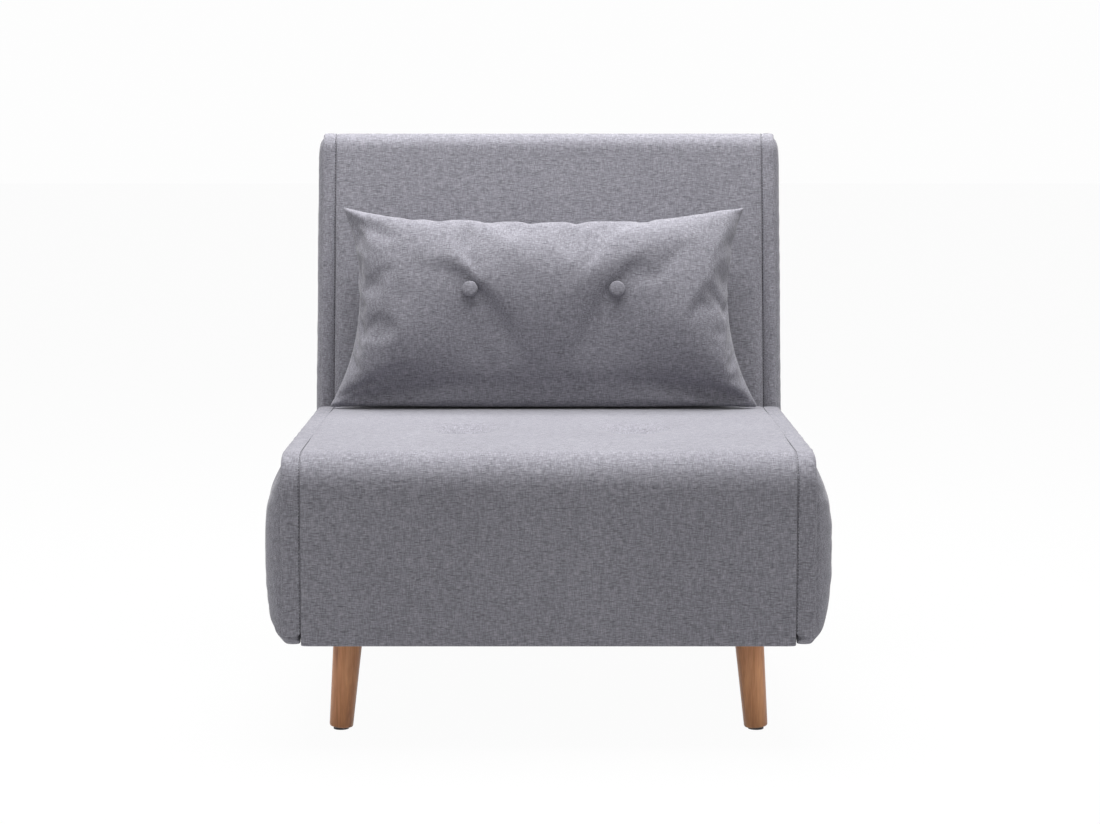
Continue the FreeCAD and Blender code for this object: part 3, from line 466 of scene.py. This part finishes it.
def padded_side(name, outline, side, inner, rim, outer, swell, droop, pucker):
    """A padded side: flat inside, rounded at its rim and swelling outwards. Droop
    lowers its upper part, and pucker draws it in along its seam."""
    low = outline.min(axis=0)
    high = outline.max(axis=0)
    middle = (low + high) / 2
    half = (high - low) / 2
    depths = [depth for depth in SIDE_DEPTHS if depth < min(half) - 0.002]
    rises = [inner]
    for depth in depths[1:]:
        share = min(1.0, depth / swell)
        rises.append(rim + (outer - rim) * math.sqrt(max(0.0, 1 - (1 - share) ** 2)))
    block = swept_block(name, outline, [(side * rise, 0.0) for rise in rises])
    points = points_of(block)
    size = len(outline)
    for k, depth in enumerate(depths):
        rows = slice(k * size, (k + 1) * size)
        ring = middle + (outline - middle) * (1 - depth / half)
        above = np.clip((ring[:, 1] - middle[1]) / half[1], 0, 1)
        ring[:, 1] -= droop * above * min(1.0, depth / 0.04)
        if droop > 0.02:
            level = np.clip(np.abs(ring[:, 1] - middle[1] + 0.012) / half[1], 0, 1)
            beyond = np.abs(points[rows, 0]) - rim
            points[rows, 0] -= side * 0.5 * np.clip(beyond, 0, None) * level ** 3
        points[rows, 1:] = ring
    put_points(block, points)
    faces_outward(block)
    finished(block)
    points = points_of(block)
    for index, (x, y, z) in enumerate(points):
        deep = abs(x) - rim
        if deep < 0.001:
            continue
        from_ends = min(y - low[0], high[0] - y)
        from_level = min(z - low[1], high[1] - z)
        inset = min(from_ends, from_level)
        near = math.exp(-max(0.0, inset) / 0.035) * min(1.0, deep / 0.008)
        along = y if from_level < from_ends else z
        fold = noise.noise(Vector((along * 34.0 + side * 7.0, inset * 9.0, side * 3.0)))
        broad = noise.noise(Vector((y * 5.0, z * 9.0, side * 5.0)))
        drawn_in = pucker * (1 - abs(fold) * 2.2) * near + 0.6 * pucker * (0.5 + broad)
        points[index, 0] -= side * drawn_in
    put_points(block, points)
    return finished(block)


gusset_outline = rounded_outline([
    (FRONT + GUSSET_INSET, 0.1435, 0.012), (REAR_FACE, 0.1435, 0.006),
    (REAR_FACE, CUSHION_BOTTOM, 0.03), (0.0987, 0.3446, 0.03), (0.1350, 0.3990, 0.010),
    (FRONT + GUSSET_INSET, 0.3990, 0.0447)])
for side, word in SIDES:
    gusset = padded_side("seat_side_" + word, gusset_outline, side,
                         0.3353, 0.356, 0.3885, 0.046, 0.030, 0.0042)
    dressed(gusset, cloth_lengthwise, "seat_unit", "grey_fabric", "seat_gusset_" + word)


# Sewn-on flanges

def flange_band(name, path, normal, side, inner, outer):
    """A folded band of the cover that follows the seam line round the block."""
    wide = outer - inner
    section = [(-0.0004, -0.0020), (0.0004, -0.0007), (0.0020, 0.0), (wide * 0.5, 0.0007),
               (wide - 0.003, 0.0), (wide - 0.0005, -0.0014), (wide, -0.003),
               (wide - 0.0008, -BAND_THICKNESS + 0.0008), (wide - 0.004, -BAND_THICKNESS),
               (wide * 0.5, -BAND_THICKNESS), (0.0, -BAND_THICKNESS)]
    size = len(section)
    band = ring_stack(name, size, len(path))
    points = np.empty((len(path) * size, 3))
    for k in range(len(path)):
        ripple = 0.0008 * noise.noise(Vector((side * 9.0, k * 0.35, 0.0)))
        for m, (across, out) in enumerate(section):
            share = across / wide
            points[k * size + m, 0] = side * (inner + across + ripple * share)
            points[k * size + m, 1:] = path[k] + normal[k] * (out + ripple * share)
    put_points(band, points)
    faces_outward(band)
    return band


def open_run(outline, normal, start, end):
    """The part of a closed outline from one place to another, in its own order."""
    first = int(np.argmin(np.hypot(*(outline - end).T)))
    last = int(np.argmin(np.hypot(*(outline - start).T)))
    order = [(first + k) % len(outline) for k in range((last - first) % len(outline) + 1)]
    return outline[order], normal[order]


seat_line, seat_normal = open_run(seat_outline, outward(seat_outline),
                                  (FRONT, 0.158), (REAR_TOP, SEAT_TOP))
for side, word in SIDES:
    band = flange_band("seat_seam_band_" + word, seat_line, seat_normal, side, 0.3349, 0.3610)
    finished(band)
    dressed(band, cloth_across, "seat_unit", "grey_fabric", "seat_flange_" + word)


# Folding panels of the back

def seam_fold(across, up, side):
    """How much deeper the seam of a panel lies towards its foot, where the cover
    is pulled in beside the pillow."""
    deep = 0.0055 if side < 0 else 0.0025
    near = np.clip(1 - np.abs(np.abs(across) - 0.339) / 0.014, 0, 1) ** 1.5
    rising = np.clip((0.42 - up) / 0.12, 0, 1)
    return deep * near * rising * np.clip((up + 0.09) / 0.04, 0, 1)


def panel_cover(name, side, low, body, node):
    """The cover of one folding panel. Side -1 faces forward and 1 to the rear."""
    outline = rounded_outline([
        (side * PANEL_BACKING, low, 0.002), (side * PANEL_FACE, low, 0.025),
        (side * PANEL_FACE, PANEL_TOP, 0.027), (side * PANEL_BACKING, PANEL_TOP, 0.002)])
    cover = swept_block(name, outline, cover_stations(0.3390))
    points = points_of(cover)
    facing = np.abs(points[:, 1]) > 0.118
    half_tall = (PANEL_TOP - low) / 2
    crown = CROWN * np.clip(1 - ((points[:, 2] - low - half_tall) / half_tall) ** 2, 0, 1)
    points[:, 1] += np.where(facing, side * crown, 0)
    points[:, 1] -= side * seam_fold(points[:, 0], points[:, 2], side)
    put_points(cover, points)
    leaned(finished(cover))
    dressed(cover, cloth_across, body, "grey_fabric", node)
    return outline


panel_lines = {}
for side, low, body, prefix in PANELS:
    outline = panel_cover(prefix + "_cover", side, low, body, prefix + "_cushion")
    rim_top = PANEL_TOP - GUSSET_INSET
    rim_outline = rounded_outline([
        (side * 0.0125, low, 0.002), (side * 0.1166, low, 0.0197),
        (side * 0.1166, rim_top, 0.0217), (side * 0.0125, rim_top, 0.002)])
    line, normal = open_run(outline, outward(outline),
                            (side * 0.047, PANEL_TOP), (side * PANEL_FACE, low + 0.025))
    panel_lines[prefix] = (line, normal)
    for edge, word in SIDES:
        gusset = leaned(padded_side("%s_side_%s" % (prefix, word), rim_outline, edge,
                                    0.3393, 0.357, 0.370, 0.022, 0.003, 0.0010))
        dressed(gusset, cloth_lengthwise, body, "grey_fabric", "%s_gusset_%s" % (prefix, word))
        band = flange_band("%s_seam_band_%s" % (prefix, word), line, normal, edge,
                           0.3389, 0.3605)
        points = points_of(band)
        points[:, 1] -= side * seam_fold(points[:, 0], points[:, 2], side)
        put_points(band, points)
        leaned(finished(band))
        dressed(band, cloth_across, body, "grey_fabric", "%s_flange_%s" % (prefix, word))


# Stitches

def seam_stitches(name, line, normal, across, depth, pitch=0.0046):
    """A row of short stitches along a seam line on both sides of the chair. Depth
    says how far below the line they lie at a height."""
    bpy.ops.object.select_all(action="DESELECT")
    bpy.ops.mesh.primitive_uv_sphere_add(segments=6, ring_count=5, radius=1.0)
    stitch = bpy.context.object
    shape = points_of(stitch) * np.array([0.00042, 0.00042, 0.00155])
    gaps = np.linalg.norm(np.diff(line, axis=0), axis=1)
    travelled = np.concatenate([[0], np.cumsum(gaps)])
    made = []
    for edge in (-1, 1):
        for s in np.arange(0.006, travelled[-1] - 0.004, pitch):
            place = np.array([np.interp(s, travelled, line[:, axis]) for axis in (0, 1)])
            out = np.array([np.interp(s, travelled, normal[:, axis]) for axis in (0, 1)])
            out /= np.linalg.norm(out)
            run = np.array([-out[1], out[0]])
            spots = np.empty_like(shape)
            spots[:, 0] = edge * across + shape[:, 0]
            spots[:, 1:] = place - out * depth(place[1])
            spots[:, 1:] += shape[:, 1:2] * out + shape[:, 2:3] * run
            made.append(spots)
    row = bpy.data.meshes.new(name)
    faces = [tuple(face.vertices) for face in stitch.data.polygons]
    size = len(shape)
    row.from_pydata(np.concatenate(made).tolist(), [],
                    [tuple(v + k * size for v in face) for k in range(len(made))
                     for face in faces])
    row.update()
    stitch.data = row
    stitch.name = name
    faces_outward(stitch)
    bpy.ops.object.shade_smooth()
    return stitch


row = seam_stitches("seat_stitches", seat_line, seat_normal, 0.3362, lambda up: 0.0006)
dressed(row, dark_thread, "seat_unit", "grey_fabric")
for side, low, body, prefix in PANELS:
    line, normal = panel_lines[prefix]
    row = leaned(seam_stitches(
        prefix + "_stitches", line, normal, 0.3402,
        lambda up, side=side: 0.0006 + float(seam_fold(0.3402, up, side))))
    dressed(row, dark_thread, body, "grey_fabric")


# Pillow: X across, Y through it with its seam at 0, Z up its face

def flat_pillow():
    """Two layers of cloth sewn together at their edge, before they are filled."""
    bpy.ops.object.select_all(action="DESELECT")
    bpy.ops.mesh.primitive_grid_add(x_subdivisions=86, y_subdivisions=46, size=1.0)
    pillow = bpy.context.object
    pillow.name = "pillow"
    bpy.ops.object.mode_set(mode="EDIT")
    bpy.ops.mesh.select_all(action="SELECT")
    bpy.ops.mesh.extrude_region_move(TRANSFORM_OT_translate={"value": (0, 0, 0.004)})
    bpy.ops.object.mode_set(mode="OBJECT")
    faces_outward(pillow)
    points = points_of(pillow)
    a, b, top = points[:, 0] * 2, points[:, 1] * 2, points[:, 2] > 0.002
    edge = np.maximum(np.abs(a), np.abs(b))
    made = np.empty_like(points)
    made[:, 0] = a * 0.320
    made[:, 2] = b * 0.175
    made[:, 1] = np.where(top, 1, -1) * (0.0015 + 0.010 * np.clip((1 - edge) * 8, 0, 1))
    return pillow, made, a, b, top


def seam_of(a, b):
    """Where the pillow's seam lies: drawn in between its four pinched corners."""
    across = a * (0.2865 - 0.0090 * b + 0.0370 * np.abs(b) ** 2.2)
    up = b * np.where(b > 0, 0.156, PILLOW_HALF_TALL)
    up = up - np.where(b > 0, 0.028, -0.004) * (1 - np.abs(a) ** 3.4) * np.abs(b)
    return across, up


def fill_pillow(pillow, made, a, b, top):
    """The filling swells the two layers, which are longer than their seam, while
    thread holds the four buttons."""
    put_points(pillow, made)
    faces_outward(pillow)
    held = pillow.vertex_groups.new(name="thread")
    drawn = made.copy()
    for x, z in PILLOW_BUTTONS:
        middle_x, middle_z = x + PILLOW_SHIFT, z - PILLOW_HALF_TALL + 0.90 * BELLY_SAG
        centre_x, centre_z = middle_x * 1.02, middle_z * 1.08
        away = np.hypot(made[:, 0] - centre_x, made[:, 2] - centre_z)
        members = [int(k) for k in np.nonzero(away < 0.010)[0]]
        held.add(members, 1.0, "REPLACE")
        for k in members:
            drawn[k, 0] = middle_x + (made[k, 0] - centre_x)
            drawn[k, 1] = BUTTON_DEPTH * (1 if top[k] else -1)
            drawn[k, 2] = middle_z + (made[k, 2] - centre_z)
    rim = np.maximum(np.abs(a), np.abs(b)) > 0.9995
    held.add([int(k) for k in np.nonzero(rim)[0]], 1.0, "REPLACE")
    across, up = seam_of(a, b)
    drawn[rim, 0] = across[rim]
    drawn[rim, 2] = up[rim]
    for k in np.nonzero(rim)[0]:
        place = Vector((float(a[k]) * 9.0, float(b[k]) * 5.0, 2.0))
        drawn[k, 1] += SEAM_RIPPLE * noise.noise(place)
    pillow.shape_key_add(name="flat")
    key = pillow.shape_key_add(name="drawn")
    key.data.foreach_set("co", drawn.ravel())
    key.value = 0.0
    key.keyframe_insert("value", frame=1)
    key.value = 1.0
    key.keyframe_insert("value", frame=14)
    cloth = pillow.modifiers.new("filling", "CLOTH")
    cloth.settings.quality = 6
    cloth.settings.mass = 0.25
    cloth.settings.tension_stiffness = 20
    cloth.settings.compression_stiffness = 14
    cloth.settings.shear_stiffness = 6
    cloth.settings.bending_stiffness = 1.6
    cloth.settings.air_damping = 4
    cloth.settings.use_pressure = True
    cloth.settings.uniform_pressure_force = 4.5
    cloth.settings.vertex_group_mass = "thread"
    cloth.settings.effector_weights.gravity = 0
    cloth.point_cache.frame_start = 1
    cloth.point_cache.frame_end = FILLING_STEPS
    scene = bpy.context.scene
    for step in range(1, FILLING_STEPS + 1):
        scene.frame_set(step)
    filled = pillow.evaluated_get(bpy.context.evaluated_depsgraph_get())
    flat = np.empty(len(pillow.data.vertices) * 3)
    filled.data.vertices.foreach_get("co", flat)
    pillow.modifiers.clear()
    pillow.shape_key_clear()
    pillow.vertex_groups.clear()
    scene.frame_set(1)
    return flat.reshape(-1, 3)


def softly_held(values, limit, ease=0.012):
    """Values that may not pass a limit, flattening as they near it."""
    over = np.clip((np.abs(values) - (limit - ease)) / ease, 0, None)
    eased = limit - ease + ease * (1 - np.exp(-over))
    return np.where(np.abs(values) > limit - ease, np.sign(values) * eased, values)


def pillow_surface():
    """The filled pillow, standing on the seat and leaning on the back."""
    pillow, made, a, b, top = flat_pillow()
    shape = fill_pillow(pillow, made, a, b, top)
    shape[:, 0] -= PILLOW_SHIFT
    inside = np.clip(1 - (shape[:, 2] / PILLOW_HALF_TALL) ** 2, 0, 1)
    inside = inside * np.clip(np.abs(shape[:, 1]) / 0.03, 0, 1)
    shape[:, 2] -= BELLY_SAG * inside
    shape[:, 2] = np.maximum(shape[:, 2], PILLOW_LOWEST) + pillow_low + PILLOW_HALF_TALL
    shape[:, 1] = softly_held(shape[:, 1], PILLOW_LIMIT) - SEAM
    put_points(pillow, shape)
    return pillow


pillow = leaned(finished(pillow_surface()))
dressed(pillow, cloth_across, "pillow", "grey_fabric", "pillow_cushion")


# Buttons

def covered_button(name, x, y, z, radius, turn, height):
    """A fabric-covered button: a low dome with a rolled rim, turned about X."""
    bpy.ops.object.select_all(action="DESELECT")
    bpy.ops.mesh.primitive_uv_sphere_add(segments=32, ring_count=16, radius=radius)
    button = bpy.context.object
    button.name = name
    points = points_of(button)
    level = points[:, 2] / radius
    points[:, 2] = np.where(level > 0, height * np.clip(level, 0, 1) ** 0.28,
                            level * height * 0.5)
    put_points(button, points)
    if turn:
        button.data.transform(Matrix.Rotation(math.radians(turn), 4, "X"))
    button.data.transform(Matrix.Translation((x, y, z)))
    bpy.ops.object.shade_smooth()
    return button


def joined(name, pieces):
    """Makes several pieces one, under a new name."""
    bpy.ops.object.select_all(action="DESELECT")
    for piece in pieces:
        piece.select_set(True)
    bpy.context.view_layer.objects.active = pieces[0]
    bpy.ops.object.join()
    pieces[0].name = name
    return pieces[0]


seat_buttons = joined("seat_tuft_buttons", [
    covered_button("seat_button", side * TUFT_X, TUFT_Y, 0.3860, 0.0118, 0, 0.0045)
    for side in (-1, 1)])
dressed(seat_buttons, cloth_across, "seat_unit", "grey_fabric", "seat_buttons")
for face, turn, depth, node in (("front", 90, -SEAM - 0.0528, "pillow_front_buttons"),
                                ("rear", -90, -SEAM + 0.0528, "pillow_back_buttons")):
    pair = joined("pillow_%s_buttons_dressed" % face, [
        covered_button("pillow_button", x, depth, pillow_low + z, 0.0120, turn, 0.0065)
        for x, z in PILLOW_BUTTONS])
    leaned(pair)
    dressed(pair, cloth_across, "pillow", "grey_fabric", node)


# Legs

def turned_leg(name, top, foot):
    """A tapered round leg with an eased foot, from its top centre to its foot."""
    top, foot = Vector(top), Vector(foot)
    run = foot - top
    bpy.ops.object.select_all(action="DESELECT")
    bpy.ops.mesh.primitive_cone_add(vertices=48, radius1=0.0165, radius2=0.021,
                                    depth=run.length, end_fill_type="NGON")
    leg = bpy.context.object
    leg.name = name
    bpy.ops.object.mode_set(mode="EDIT")
    bpy.ops.mesh.select_all(action="SELECT")
    bpy.ops.mesh.bevel(offset=0.0025, segments=3, affect="EDGES")
    bpy.ops.object.mode_set(mode="OBJECT")
    turn = Vector((0, 0, -1)).rotation_difference(run).to_matrix().to_4x4()
    leg.data.transform(Matrix.Translation((top + foot) / 2) @ turn)
    return leg


def leg_pair_of(name, y, z_top, rake, node, body):
    """Two splayed legs under the front or the rear of the chair."""
    pair = joined(name, [turned_leg("leg", (side * LEG_TOP_X, y, z_top),
                                    (side * LEG_FOOT_X, y + rake, GLIDE_TOP))
                         for side in (-1, 1)])
    alone(pair)
    bpy.ops.object.shade_smooth_by_angle(angle=math.radians(50))
    dressed(pair, brown_wood, body, "leg_wood", node)


leg_pair_of("front_leg_turnings", FRONT + 0.130, 0.1455, 0.0, "front_legs", "seat_unit")
leg_pair_of("rear_leg_turnings", HINGE_Y + 0.012, 0.1400, 0.014, "rear_legs", "rear_trestle")

# Finishes of the frame, the mechanism and the glides, which show as they are.
# What the table doesn't name is black steel.
carried = {
    "seat_side_rail_left": pale_wood, "seat_side_rail_right": pale_wood,
    "seat_front_rail": pale_wood, "seat_rear_rail": pale_wood, "seat_leg_bearer": pale_wood,
    "trestle_beam": pale_wood,
    "seat_straps": webbing, "back_straps": webbing, "rear_straps": webbing,
    "seat_dust_cover": black_lining,
    "front_leg_glides": glide_plastic, "rear_leg_glides": glide_plastic,
    "middle_leg_feet": glide_plastic,
    "seat_hinge_pins": bright_steel, "apex_pins": bright_steel, "trestle_pins": bright_steel,
    "middle_leg_pins": bright_steel,
}
for name, node in nodes.items():
    if node.hide_render:
        continue
    node.data.materials.clear()
    node.data.materials.append(carried.get(name, black_steel))

# Floor, pale to the camera and in reflections, with the chair's shadow on it
bpy.ops.object.select_all(action="DESELECT")
bpy.ops.mesh.primitive_plane_add(size=60.0, location=(0, 0, -0.0005))
floor = bpy.context.object
floor.name = "floor"
pale = Finish("pale_floor")
pale.set(Base_Color=(0.62, 0.62, 0.62, 1), Roughness=0.9)
path = pale.tree.nodes.new("ShaderNodeLightPath")
seen = pale.node("ShaderNodeMath", {"operation": "MAXIMUM"},
                 Value(pale, path.outputs["Is Camera Ray"]),
                 pale.node("ShaderNodeMath", {"operation": "MAXIMUM"},
                           Value(pale, path.outputs["Is Glossy Ray"]),
                           Value(pale, path.outputs["Is Transmission Ray"])))
glow = pale.node("ShaderNodeEmission", {}, Color=(1, 1, 1, 1), Strength=1.0)
mixed = pale.node("ShaderNodeMixShader", {}, seen * 0.965,
                  Value(pale, pale.surface.outputs[0]), glow)
pale.tree.links.new(mixed.socket, pale.tree.nodes["Material Output"].inputs["Surface"])
floor.data.materials.append(pale.material)

# World: a white backdrop to the camera, and a faint even light on the chair
world = bpy.data.worlds.new("studio")
bpy.context.scene.world = world
world.use_nodes = True
tree = world.node_tree
soft_light = tree.nodes["Background"]
soft_light.inputs["Color"].default_value = (1, 1, 1, 1)
soft_light.inputs["Strength"].default_value = 0.17
backdrop = tree.nodes.new("ShaderNodeBackground")
backdrop.inputs["Color"].default_value = (1, 1, 1, 1)
backdrop.inputs["Strength"].default_value = 0.985
light_path = tree.nodes.new("ShaderNodeLightPath")
mix = tree.nodes.new("ShaderNodeMixShader")
tree.links.new(light_path.outputs["Is Camera Ray"], mix.inputs[0])
tree.links.new(soft_light.outputs[0], mix.inputs[1])
tree.links.new(backdrop.outputs[0], mix.inputs[2])
tree.links.new(mix.outputs[0], tree.nodes["World Output"].inputs["Surface"])


def lamp(name, place, aim, size, power):
    """A soft lamp that faces a point on the chair."""
    data = bpy.data.lights.new(name, "AREA")
    data.shape = "RECTANGLE"
    data.size, data.size_y = size
    data.energy = power
    obj = bpy.data.objects.new(name, data)
    obj.location = place
    obj.rotation_euler = (Vector(aim) - Vector(place)).to_track_quat("-Z", "Y").to_euler()
    bpy.context.scene.collection.objects.link(obj)


lamp("overhead", (0.0, 0.1, 2.9), (0, -0.05, 0.4), (2.6, 2.2), 185)
for side, word in SIDES:
    lamp("side_" + word, (side * 3.0, -0.9, 1.1), (0, -0.1, 0.4), (1.4, 1.8), 13)
for side, word in SIDES:
    lamp("front_" + word, (side * 2.4, -3.0, 2.0), (0, 0, 0.4), (1.6, 1.6), 8)
